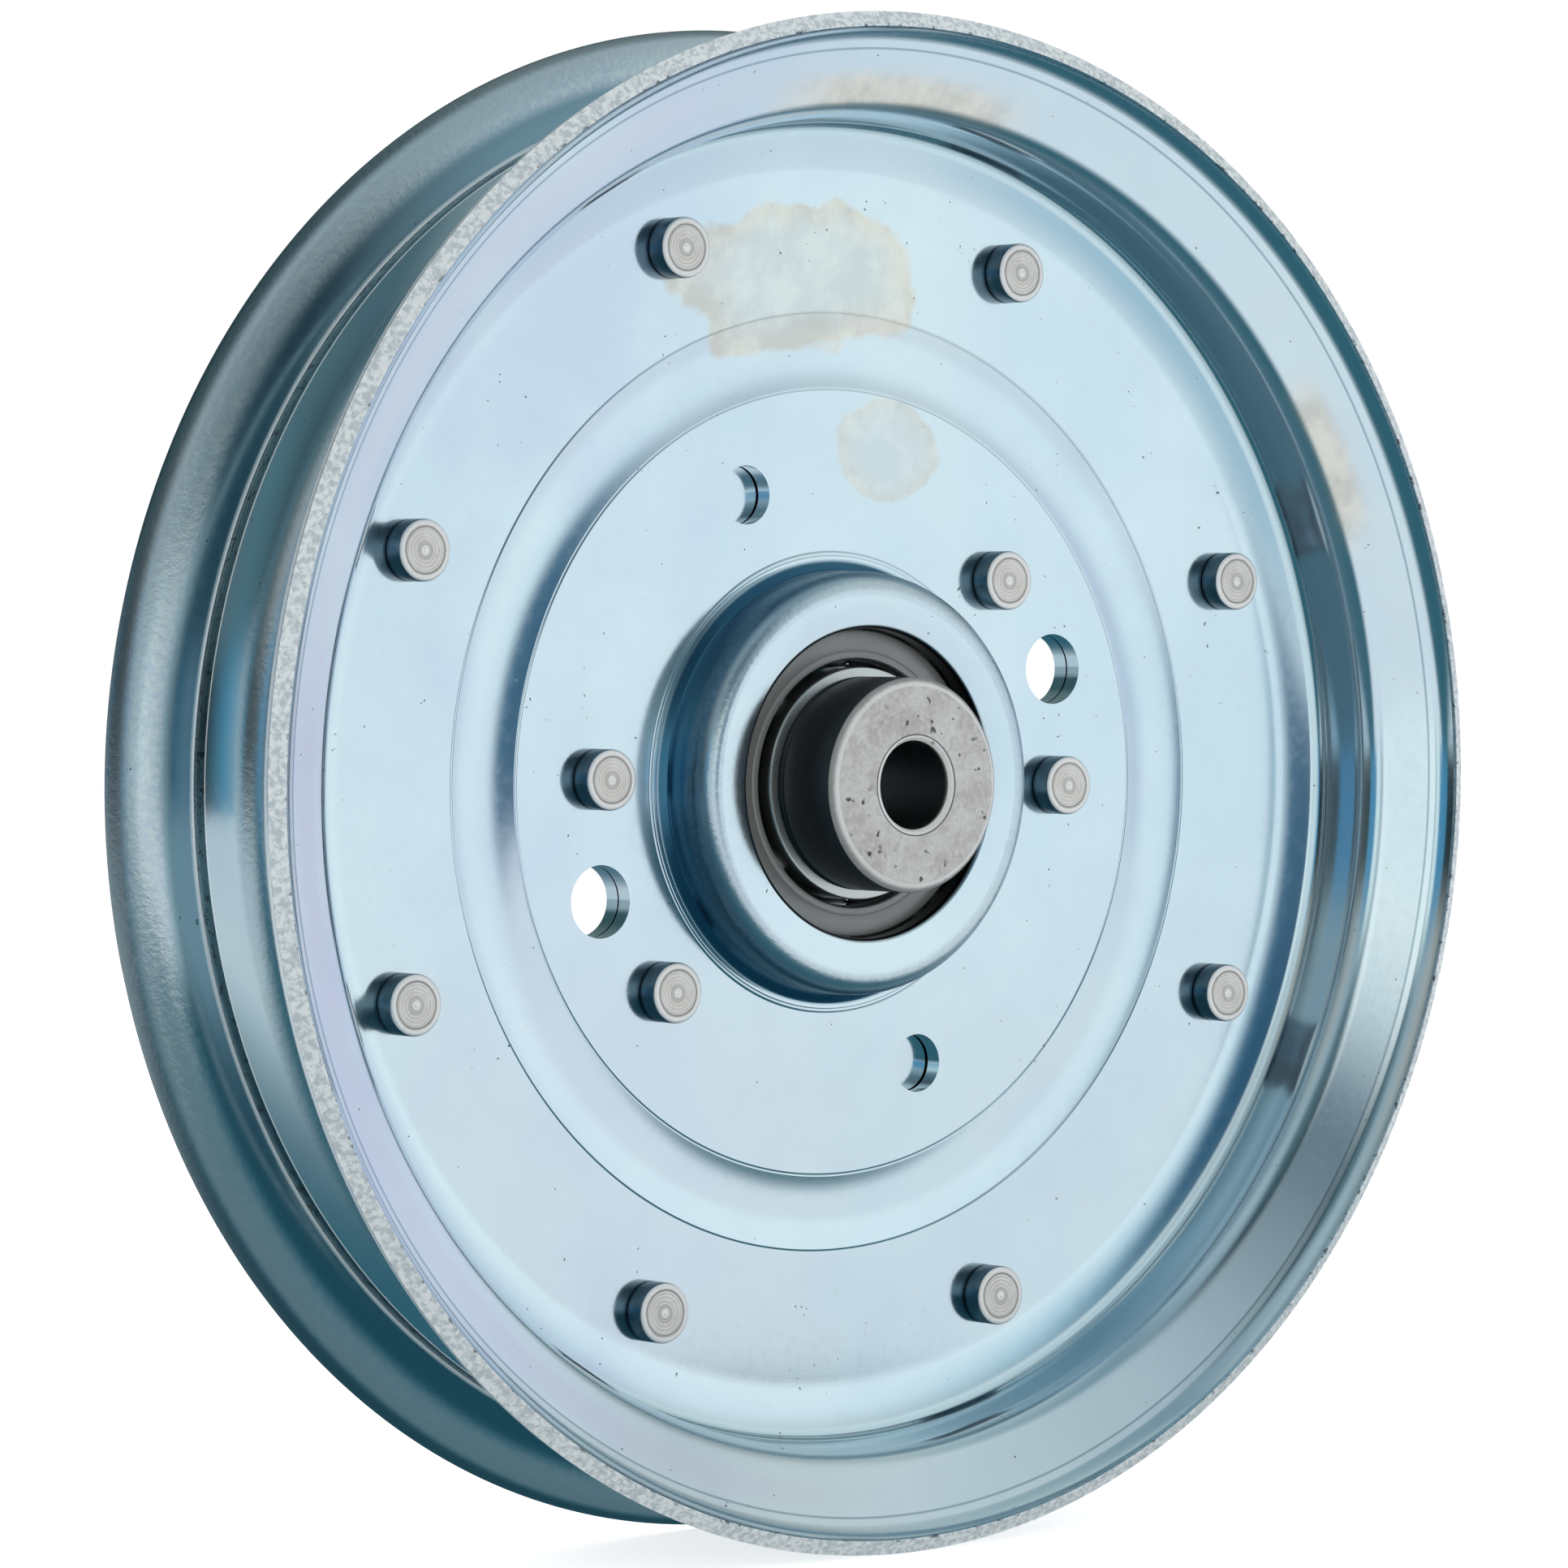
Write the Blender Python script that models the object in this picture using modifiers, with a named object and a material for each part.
"""Flat belt idler pulley: two stamped and riveted steel halves on a sealed ball bearing,
with a stepped spacer bushing pressed in from each side.

Row frame: metres, +Z up. The spin axis is Y, the front face looks toward -Y, and the
origin is the centre of the bore on the plane where the two halves meet.
"""

import math

import bmesh
import bpy
from mathutils import Matrix

MM = 0.001

# All sizes are in mm and degrees. Heights are measured from the contact plane of the
# halves along the spin axis, and section points are (radius, height).

# ---------------------------------------------------------------- stamped halves
SHEET_T = 1.9
HALF_GAP = 0.15               # each half stands this far off the contact plane
WEB_FRONT = HALF_GAP + SHEET_T

RIM_R = 82.55                 # outer corner of the rolled lip
LIP_TIP = (80.90, 15.68)      # outer-face corner of the trimmed edge
RIM_CORNER = (RIM_R, 14.98)   # back-face corner of the trimmed edge
CREASE = (79.25, 13.66)       # the flange curls up into the lip here
LIP_SAG = 0.12                # the middle of the lip lies this far below its chord
WALL_TOP = (71.62, 10.50)     # corner of the rim wall and the sloped flange
WALL_TOP_FILLET = 3.8
WALL_FOOT = (71.40, WEB_FRONT)
WALL_FOOT_FILLET = 2.2

BEAD_IN_R = 42.7              # annular stiffening bead pressed into the web
BEAD_OUT_R = 51.0
BEAD_DEPTH = 0.75
BEAD_SEGMENTS = 3

DOME_EDGE = (16.90, 8.50)     # bearing housing drawn out of the web
DOME_TOP = (22.90, 8.75)
DOME_TOP_FILLET = 2.2
DOME_FOOT = (23.00, WEB_FRONT)
DOME_FOOT_FILLET = 1.1

FILLET_STEP = 40.0            # turn covered by one fillet segment
HALF_STEPS = 48

# ---------------------------------------------------------------- rivets and web holes
# PCR is a pitch circle radius. Angles run from +X toward +Z, seen from the front.
PATTERN_ANGLE = 21.0          # all the rivets and holes are laid out about this angle
RIVET_COUNT = 8
RIVET_PITCH = 360.0 / RIVET_COUNT
RIVET_PCR = 61.25
RIVET_ANGLES = [PATTERN_ANGLE + RIVET_PITCH * i for i in range(RIVET_COUNT)]
INNER_RIVET_PCR = 31.9        # two opposite pairs round the housing
INNER_RIVET_ANGLES = [
    PATTERN_ANGLE + turn + side * RIVET_PITCH / 2 for turn in (0.0, 180.0) for side in (-1, 1)
]

RIVET_R = 3.25                # front head
RIVET_TALL = 2.55
RIVET_CHAMFER = 0.3
RIVET_SHANK_R = 2.7
RIVET_BACK_R = 4.7            # rear head
RIVET_BACK_TALL = 1.7
RIVET_BACK_SHOULDER = (0.78, 0.75)   # its shoulder, as parts of its radius and height
SEAT_GAP = 0.10
RIVET_STEPS = 12

RIVET_HOLE_R = 3.0
HOLE_STEPS = 14
HOLE_CUT_DEPTH = 12.0         # centred on the contact plane, so it clears both webs

# name, hole radius, PCR, angles
BOTH_WEB_HOLES = (
    ("rivet_hole", RIVET_HOLE_R, RIVET_PCR, RIVET_ANGLES),
    ("inner_hole", RIVET_HOLE_R, INNER_RIVET_PCR, INNER_RIVET_ANGLES),
    ("through_hole", 3.9, 33.8, (PATTERN_ANGLE, PATTERN_ANGLE + 180.0)),
)
FRONT_WEB_HOLES = (
    ("pilot_hole", 3.18, 33.3, (PATTERN_ANGLE + 90.0, PATTERN_ANGLE + 270.0)),
)

# ---------------------------------------------------------------- bearing
RING_STEPS = 32               # also used for the seals, cage and spacers
BEARING_R = 41.275 / 2        # sealed inch ball bearing, 5/8 x 1 5/8 x 1/2 in
BEARING_BORE_R = 15.875 / 2
OUTER_RING_HALF_W = 12.7 / 2
OUTER_RING_CHAMFER = 0.5
INNER_RING_HALF_W = 13.9 / 2  # the inner ring is wider than the outer
INNER_LAND_R = 12.6
OUTER_LAND_R = 17.0
BALL_R = 7.144 / 2
PITCH_R = 14.2875
BALL_COUNT = 8
BALL_ANGLES = [360.0 / BALL_COUNT * i for i in range(BALL_COUNT)]
BALL_MERIDIANS = 10
BALL_BANDS = 7
RACE_GAP = 0.10
GROOVE_R = 3.72
OUTER_GROOVE_SEGMENTS = 5
INNER_GROOVE_SEGMENTS = 6

SEAL_IN_R = 13.5
SEAL_OUT_R = 16.6
SEAL_OUTSIDE = 6.15
SEAL_T = 0.8

CAGE_IN_R = PITCH_R - 1.0
CAGE_OUT_R = PITCH_R + 1.1
CAGE_FRONT = 4.9
CAGE_REAR = -1.8
POCKET_R = BALL_R + 0.32
POCKET_DEPTH = 8.0
POCKET_STEPS = 16

# ---------------------------------------------------------------- spacers
SPACER_R = 23.1 / 2
SPACER_BORE_R = 9.525 / 2     # 3/8 in bolt
SPACER_FACE = 16.3
SPACER_STUB_R = 7.7           # the stub stands inside the bearing bore
SPACER_CHAMFER = 0.8
BORE_CHAMFER = 0.5

SHARP_ANGLE = 35.0            # edges that turn more than this are marked sharp

# ---------------------------------------------------------------- scene
for old in list(bpy.data.objects):
    bpy.data.objects.remove(old)


def new_collection(name):
    collection = bpy.data.collections.new(name)
    bpy.context.scene.collection.children.link(collection)
    return collection


parts = new_collection("flat_idler_pulley")
cutters = new_collection("cutters")

# A turned part is modelled standing on its own +Z. This empty lays that axis along -Y,
# so that a part's +Z is the pulley's front and its +Y is up.
axis = bpy.data.objects.new("pulley_axis", None)
axis.rotation_euler = (math.radians(90.0), 0.0, 0.0)
parts.objects.link(axis)


# ---------------------------------------------------------------- materials
def material(name, color, roughness, metallic):
    mat = bpy.data.materials.new(name)
    mat.use_nodes = True
    inputs = mat.node_tree.nodes["Principled BSDF"].inputs
    inputs["Base Color"].default_value = (*color, 1.0)
    inputs["Roughness"].default_value = roughness
    inputs["Metallic"].default_value = metallic
    return mat


zinc = material("zinc_plated_sheet", color=(0.72, 0.78, 0.82), roughness=0.22, metallic=1.0)
ring_steel = material(
    "bearing_ring_steel", color=(0.66, 0.63, 0.58), roughness=0.25, metallic=1.0)
ball_steel = material("ball_steel", color=(0.70, 0.70, 0.72), roughness=0.08, metallic=1.0)
cage_nylon = material("cage_nylon", color=(0.70, 0.62, 0.42), roughness=0.5, metallic=0.0)
seal_grey = material("seal_shield", color=(0.30, 0.30, 0.29), roughness=0.5, metallic=0.6)
spacer_steel = material(
    "spacer_sintered_steel", color=(0.38, 0.36, 0.35), roughness=0.45, metallic=1.0)
rivet_steel = material("rivet_steel", color=(0.50, 0.50, 0.50), roughness=0.3, metallic=1.0)


# ---------------------------------------------------------------- helpers
def finish_mesh(bm, name):
    mesh = bpy.data.meshes.new(name)
    bm.to_mesh(mesh)
    bm.free()
    return mesh


def section_mesh(name, points, mat, closed=True):
    """The edges of a section in the local XZ plane, x = radius, z = height."""
    bm = bmesh.new()
    verts = [bm.verts.new((r * MM, 0.0, z * MM)) for r, z in points]
    for start, end in zip(verts, verts[1:]):
        bm.edges.new((start, end))
    if closed:
        bm.edges.new((verts[-1], verts[0]))
    mesh = finish_mesh(bm, name)
    mesh.materials.append(mat)
    return mesh


def cylinder_mesh(name, radius, depth, segments, matrix):
    bm = bmesh.new()
    bmesh.ops.create_cone(bm, cap_ends=True, segments=segments, radius1=radius * MM,
                          radius2=radius * MM, depth=depth * MM, matrix=matrix)
    return finish_mesh(bm, name)


def add_object(name, mesh, collection):
    obj = bpy.data.objects.new(name, mesh)
    collection.objects.link(obj)
    obj.parent = axis
    return obj


def add_turned(name, mesh, steps):
    """Adds an object that turns a section mesh about its local Z."""
    obj = add_object(name, mesh, parts)
    mod = obj.modifiers.new("turn", "SCREW")
    mod.axis = "Z"
    mod.angle = math.radians(360.0)
    mod.steps = steps
    mod.render_steps = steps
    mod.use_merge_vertices = True
    mod.merge_threshold = 0.00001
    mod.use_smooth_shade = True
    return obj


def turned(name, points, steps, mat, rear=False):
    """A ring turned from a closed section. A rear part is turned over to face +Y."""
    obj = add_turned(name, section_mesh(name, points, mat), steps)
    if rear:
        obj.rotation_euler = (math.radians(180.0), 0.0, 0.0)
    return obj


def polar(radius, angle):
    """The location at a radius and angle on the contact plane."""
    a = math.radians(angle)
    return (radius * math.cos(a) * MM, radius * math.sin(a) * MM, 0.0)


def place(obj, radius, angle):
    """Moves an object out to a radius and angle, with its local X pointing outward."""
    obj.location = polar(radius, angle)
    obj.rotation_euler = (0.0, 0.0, math.radians(angle))


def cut_ring(target, name, mesh, radius, angles):
    """Subtracts a hidden cutter from the target at each angle."""
    for i, angle in enumerate(angles):
        cutter = add_object(f"{name}_{i + 1}", mesh, cutters)
        place(cutter, radius, angle)
        cutter.hide_render = True
        cutter.display_type = "WIRE"
        mod = target.modifiers.new(cutter.name, "BOOLEAN")
        mod.operation = "DIFFERENCE"
        mod.object = cutter
        mod.solver = "EXACT"


def arc(center_r, center_z, radius, start, end, segments):
    """segments + 1 points of a circle arc between two angles."""
    angles = [math.radians(start + (end - start) * i / segments) for i in range(segments + 1)]
    return [(center_r + radius * math.cos(a), center_z + radius * math.sin(a)) for a in angles]


def direction(start, end):
    return math.atan2(end[1] - start[1], end[0] - start[0])


def fillet_path(corners):
    """Samples an open path of (r, z, fillet) corners. Returns (r, z, offset_r, offset_z)
    for each sample: the offset is one unit of thickness into the material, on the right
    of the direction of travel."""
    samples = []

    def add(r, z, heading, stretch=1.0):
        samples.append((r, z, math.sin(heading) * stretch, -math.cos(heading) * stretch))

    add(*corners[0][:2], direction(corners[0], corners[1]))
    for before, corner, after in zip(corners, corners[1:], corners[2:]):
        r, z, fillet = corner
        heading = direction(before, corner)
        turn = (direction(corner, after) - heading + math.pi) % (2 * math.pi) - math.pi
        if fillet <= 0.0:
            # A mitred corner needs a longer offset to keep the thickness.
            add(r, z, heading + turn / 2, 1.0 / math.cos(turn / 2))
            continue
        run = fillet * math.tan(abs(turn) / 2)
        swing = math.copysign(fillet, turn)
        center_r = r - run * math.cos(heading) - swing * math.sin(heading)
        center_z = z - run * math.sin(heading) + swing * math.cos(heading)
        steps = max(2, int(round(abs(math.degrees(turn)) / FILLET_STEP)))
        for k in range(steps + 1):
            a = heading + turn * k / steps
            add(center_r + swing * math.sin(a), center_z - swing * math.cos(a), a)
    add(*corners[-1][:2], direction(corners[-2], corners[-1]))
    return samples


# ---------------------------------------------------------------- stamped halves
def bead_arc(raised):
    """The bead is one pressing through both webs: sunk in the front half, and standing
    proud of the rear half, so that the two halves nest about one common centre."""
    middle = (BEAD_IN_R + BEAD_OUT_R) / 2
    half_width = (BEAD_OUT_R - BEAD_IN_R) / 2
    radius = (half_width ** 2 + BEAD_DEPTH ** 2) / (2 * BEAD_DEPTH)
    center_z = WEB_FRONT - BEAD_DEPTH + radius
    if raised:
        radius += 2 * SHEET_T + 2 * HALF_GAP
        spread = math.degrees(math.acos((center_z + WEB_FRONT) / radius))
        return arc(middle, -center_z, radius, 90 + spread, 90 - spread, BEAD_SEGMENTS)
    spread = math.degrees(math.asin(half_width / radius))
    return arc(middle, center_z, radius, -90 - spread, -90 + spread, BEAD_SEGMENTS)


def lip_middle():
    """The lip goes on curling up past the crease, so its middle sags below the chord."""
    heading = direction(CREASE, LIP_TIP)
    return ((CREASE[0] + LIP_TIP[0]) / 2 + LIP_SAG * math.sin(heading),
            (CREASE[1] + LIP_TIP[1]) / 2 - LIP_SAG * math.cos(heading))


def sheet_section(raised_bead):
    """Closed section of one stamped half: its outer surface outward, then its back."""
    path = fillet_path([
        (*DOME_EDGE, 0.0),
        (*DOME_TOP, DOME_TOP_FILLET),
        (*DOME_FOOT, DOME_FOOT_FILLET),
        *[(r, z, 0.0) for r, z in bead_arc(raised_bead)],
        (*WALL_FOOT, WALL_FOOT_FILLET),
        (*WALL_TOP, WALL_TOP_FILLET),
        (*CREASE, 0.0),
        (*lip_middle(), 0.0),
        (*LIP_TIP, 0.0),
    ])
    outer = [(r, z) for r, z, _, _ in path]
    back = [(r + dr * SHEET_T, z + dz * SHEET_T) for r, z, dr, dz in path]
    back[-1] = RIM_CORNER
    return outer + back[::-1]


def build_half(side, holes, rear=False):
    half = turned(f"{side}_half", sheet_section(rear), HALF_STEPS, zinc, rear)
    for hole, radius, pitch_radius, angles in holes:
        name = f"{side}_{hole}"
        mesh = cylinder_mesh(name, radius, HOLE_CUT_DEPTH, HOLE_STEPS, Matrix.Identity(4))
        cut_ring(half, name, mesh, pitch_radius, angles)


# ---------------------------------------------------------------- rivets
def build_rivets():
    """All the rivets share one mesh, an open section that starts and ends on the axis."""
    front_seat = WEB_FRONT + SEAT_GAP
    front_top = WEB_FRONT + RIVET_TALL
    shoulder_r, shoulder_z = RIVET_BACK_SHOULDER
    mesh = section_mesh("rivet", [
        (0.0, front_top),
        (RIVET_R - RIVET_CHAMFER, front_top),
        (RIVET_R, front_top - RIVET_CHAMFER),
        (RIVET_R, front_seat),
        (RIVET_SHANK_R, front_seat),
        (RIVET_SHANK_R, -front_seat),
        (RIVET_BACK_R, -front_seat),
        (RIVET_BACK_R * shoulder_r, -WEB_FRONT - RIVET_BACK_TALL * shoulder_z),
        (0.0, -WEB_FRONT - RIVET_BACK_TALL),
    ], rivet_steel, closed=False)
    for name, radius, angles in (
        ("outer_rivet", RIVET_PCR, RIVET_ANGLES),
        ("inner_rivet", INNER_RIVET_PCR, INNER_RIVET_ANGLES),
    ):
        for i, angle in enumerate(angles):
            place(add_turned(f"{name}_{i + 1}", mesh, RIVET_STEPS), radius, angle)


# ---------------------------------------------------------------- bearing
def groove(land_r, bottom_r, segments):
    """Raceway arc listed from +z to -z. It meets the ring's lands at land_r and is
    deepest at bottom_r."""
    side = 1.0 if bottom_r < land_r else -1.0
    center = bottom_r + side * GROOVE_R
    spread = math.acos((center - land_r) * side / GROOVE_R)
    angles = [spread - 2 * spread * k / segments for k in range(segments + 1)]
    return [(center - side * GROOVE_R * math.cos(a), GROOVE_R * math.sin(a)) for a in angles]


def build_outer_ring():
    race = groove(OUTER_LAND_R, PITCH_R + BALL_R + RACE_GAP, OUTER_GROOVE_SEGMENTS)
    turned("bearing_outer_ring", [
        (BEARING_R - OUTER_RING_CHAMFER, OUTER_RING_HALF_W),
        (BEARING_R, OUTER_RING_HALF_W - OUTER_RING_CHAMFER),
        (BEARING_R, -OUTER_RING_HALF_W + OUTER_RING_CHAMFER),
        (BEARING_R - OUTER_RING_CHAMFER, -OUTER_RING_HALF_W),
        (OUTER_LAND_R, -OUTER_RING_HALF_W),
        *race[::-1],
        (OUTER_LAND_R, OUTER_RING_HALF_W),
    ], RING_STEPS, ring_steel)


def build_inner_ring():
    turned("bearing_inner_ring", [
        (INNER_LAND_R, INNER_RING_HALF_W),
        *groove(INNER_LAND_R, PITCH_R - BALL_R - RACE_GAP, INNER_GROOVE_SEGMENTS),
        (INNER_LAND_R, -INNER_RING_HALF_W),
        (BEARING_BORE_R, -INNER_RING_HALF_W),
        (BEARING_BORE_R, INNER_RING_HALF_W),
    ], RING_STEPS, ring_steel)


def build_seal(name, rear=False):
    turned(name, [
        (SEAL_OUT_R, SEAL_OUTSIDE),
        (SEAL_OUT_R, SEAL_OUTSIDE - SEAL_T),
        (SEAL_IN_R, SEAL_OUTSIDE - SEAL_T),
        (SEAL_IN_R, SEAL_OUTSIDE),
    ], RING_STEPS, seal_grey, rear)


def build_balls():
    bm = bmesh.new()
    bmesh.ops.create_uvsphere(
        bm, u_segments=BALL_MERIDIANS, v_segments=BALL_BANDS, radius=BALL_R * MM)
    mesh = finish_mesh(bm, "bearing_ball")
    mesh.materials.append(ball_steel)
    for i, angle in enumerate(BALL_ANGLES):
        ball = add_object(f"bearing_ball_{i + 1}", mesh, parts)
        ball.location = polar(PITCH_R, angle)


def build_cage():
    """Crown cage: a ring on the front side of the balls, with fingers between them."""
    cage = turned("ball_cage", [
        (CAGE_OUT_R, CAGE_FRONT),
        (CAGE_OUT_R, CAGE_REAR),
        (CAGE_IN_R, CAGE_REAR),
        (CAGE_IN_R, CAGE_FRONT),
    ], RING_STEPS, cage_nylon)
    lay_radially = Matrix.Rotation(math.radians(90.0), 4, "Y")
    pocket = cylinder_mesh("cage_pocket", POCKET_R, POCKET_DEPTH, POCKET_STEPS, lay_radially)
    cut_ring(cage, "cage_pocket", pocket, PITCH_R, BALL_ANGLES)


# ---------------------------------------------------------------- spacers
def build_spacer(name, rear=False):
    step_z = INNER_RING_HALF_W + SEAT_GAP
    turned(name, [
        (SPACER_R - SPACER_CHAMFER, SPACER_FACE),
        (SPACER_R, SPACER_FACE - SPACER_CHAMFER),
        (SPACER_R, step_z),
        (SPACER_STUB_R, step_z),
        (SPACER_STUB_R, HALF_GAP),
        (SPACER_BORE_R, HALF_GAP),
        (SPACER_BORE_R, SPACER_FACE - BORE_CHAMFER),
        (SPACER_BORE_R + BORE_CHAMFER, SPACER_FACE),
    ], RING_STEPS, spacer_steel, rear)


# ---------------------------------------------------------------- build
build_half("front", BOTH_WEB_HOLES + FRONT_WEB_HOLES)
build_half("rear", BOTH_WEB_HOLES, rear=True)
build_rivets()
build_outer_ring()
build_inner_ring()
build_seal("front_seal")
build_seal("rear_seal", rear=True)
build_balls()
build_cage()
build_spacer("front_spacer")
build_spacer("rear_spacer", rear=True)

for part in parts.objects:
    if part.type == "MESH":
        part.data.shade_smooth()
        part.data.set_sharp_from_angle(angle=math.radians(SHARP_ANGLE))
